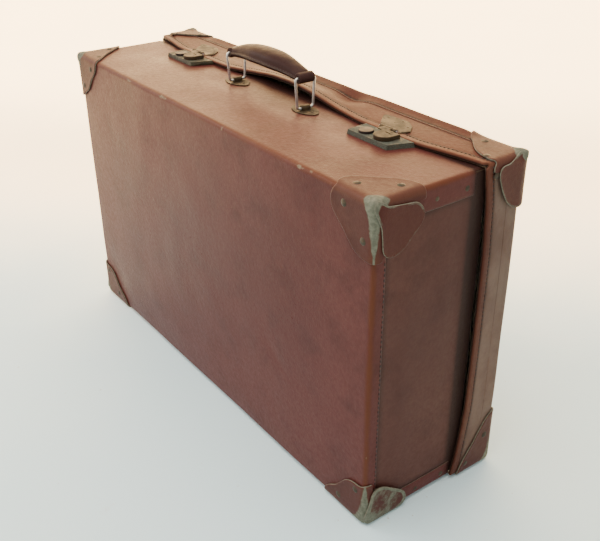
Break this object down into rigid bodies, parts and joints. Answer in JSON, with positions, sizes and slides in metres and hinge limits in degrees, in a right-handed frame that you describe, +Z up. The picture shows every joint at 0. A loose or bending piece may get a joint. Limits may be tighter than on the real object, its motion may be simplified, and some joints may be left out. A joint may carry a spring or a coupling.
{
  "type": "suitcase",
  "caption": "Upright leather suitcase with a deep base, a shallow hinged lid, hasp locks, capped corners and a swinging carrying handle.",
  "frame": {"origin": "on the floor, under the middle of the closed case's box", "axes": "+X along the case's length, -Y towards the deep base's large face, +Y towards the lid's large face, +Z up towards the handle"},
  "size_m": [0.6214, 0.1862, 0.4201],
  "materials": {
    "hide": "worn satin brown hide",
    "hide_edge": "rubbed tan edge",
    "cap_hide": "thick scuffed hide",
    "grip_hide": "dark hand-worn hide",
    "board": "raw fibre board",
    "lining": "matt cotton",
    "wood": "bare strip",
    "wood_core": "bare core",
    "steel_wire": "bright wire",
    "dark_metal": "dark worn knob",
    "rivet_brass": "tarnished",
    "old_brass": "tarnished olive"
  },
  "bodies": {
    "bail_left": {"bail_left": "steel_wire"},
    "bail_right": {"bail_right": "steel_wire"},
    "base": {"base_bottom_board": "board", "base_cap_bottom_left": "cap_hide", "base_cap_bottom_right": "cap_hide", "base_cap_top_left": "cap_hide", "base_cap_top_right": "cap_hide", "base_end_board_left": "board", "base_end_board_right": "board", "base_end_leather_left": "hide", "base_end_leather_right": "hide", "base_front_board": "board", "base_lining": "lining", "base_rivets": "rivet_brass", "base_top_board": "board", "base_wrap_leather": "hide", "handle_plate_left": "old_brass", "handle_plate_right": "old_brass", "hinge_base_leaves": "old_brass", "hinge_pins": "steel_wire", "lock_back_plate_left": "old_brass", "lock_back_plate_right": "old_brass", "lock_case_left": "old_brass", "lock_case_right": "old_brass", "lock_spring_left": "steel_wire", "lock_spring_right": "steel_wire", "rim_batten_bottom": "wood", "rim_batten_left": "wood", "rim_batten_right": "wood", "rim_batten_top": "wood"},
    "grip": {"grip_core": "wood_core", "grip_lower_leather": "grip_hide", "grip_upper_leather": "grip_hide"},
    "hasp_left": {"hasp_left": "old_brass"},
    "lid": {"hasp_pin_left": "steel_wire", "hasp_pin_right": "steel_wire", "hasp_plate_left": "old_brass", "hasp_plate_right": "old_brass", "hinge_lid_leaves": "old_brass", "lid_band_leather": "hide", "lid_bottom_board": "board", "lid_cap_bottom_left": "cap_hide", "lid_cap_bottom_right": "cap_hide", "lid_cap_top_left": "cap_hide", "lid_cap_top_right": "cap_hide", "lid_end_board_left": "board", "lid_end_board_right": "board", "lid_face_board": "board", "lid_face_leather": "hide", "lid_lining": "lining", "lid_lip_binding": "hide_edge", "lid_rivets": "rivet_brass", "lid_top_board": "board"},
    "hasp_right": {"hasp_right": "old_brass"},
    "latch_left": {"lock_bolt_left": "steel_wire", "lock_knob_left": "dark_metal"},
    "latch_right": {"lock_bolt_right": "steel_wire", "lock_knob_right": "dark_metal"}
  },
  "joints": [
    {"name": "lid_hinge", "type": "hinge", "parent": "base", "child": "lid", "pos_m": [0, 0.03, 0.0024], "axis": [-1, 0, 0], "range_deg": [0, 105]},
    {"name": "hasp_left_hinge", "type": "hinge", "parent": "lid", "child": "hasp_left", "pos_m": [-0.185, 0.0266, 0.3732], "axis": [-1, 0, 0], "range_deg": [0, 110]},
    {"name": "hasp_right_hinge", "type": "hinge", "parent": "lid", "child": "hasp_right", "pos_m": [0.187, 0.0266, 0.3732], "axis": [-1, 0, 0], "range_deg": [0, 110]},
    {"name": "latch_left_slide", "type": "slide", "parent": "base", "child": "latch_left", "axis": [-1, 0, 0], "range_m": [0, 0.006], "stiffness_N_per_m": 300},
    {"name": "latch_right_slide", "type": "slide", "parent": "base", "child": "latch_right", "axis": [-1, 0, 0], "range_m": [0, 0.006], "stiffness_N_per_m": 300},
    {"name": "bail_left_hinge", "type": "hinge", "parent": "base", "child": "bail_left", "pos_m": [-0.062, 0.008, 0.3691], "axis": [0, 1, 0], "range_deg": [-60, 60]},
    {"name": "grip_hinge", "type": "hinge", "parent": "bail_left", "child": "grip", "pos_m": [-0.062, 0.008, 0.4021], "axis": [0, 1, 0], "range_deg": [-60, 60]},
    {"name": "bail_right_hinge", "type": "hinge", "parent": "base", "child": "bail_right", "pos_m": [0.073, 0.008, 0.3691], "axis": [0, 1, 0], "range_deg": [-60, 60]}
  ],
  "couplings": [
    {"joint": "grip_hinge", "follows": "bail_left_hinge", "ratio": -1},
    {"joint": "bail_right_hinge", "follows": "bail_left_hinge", "ratio": 1}
  ]
}
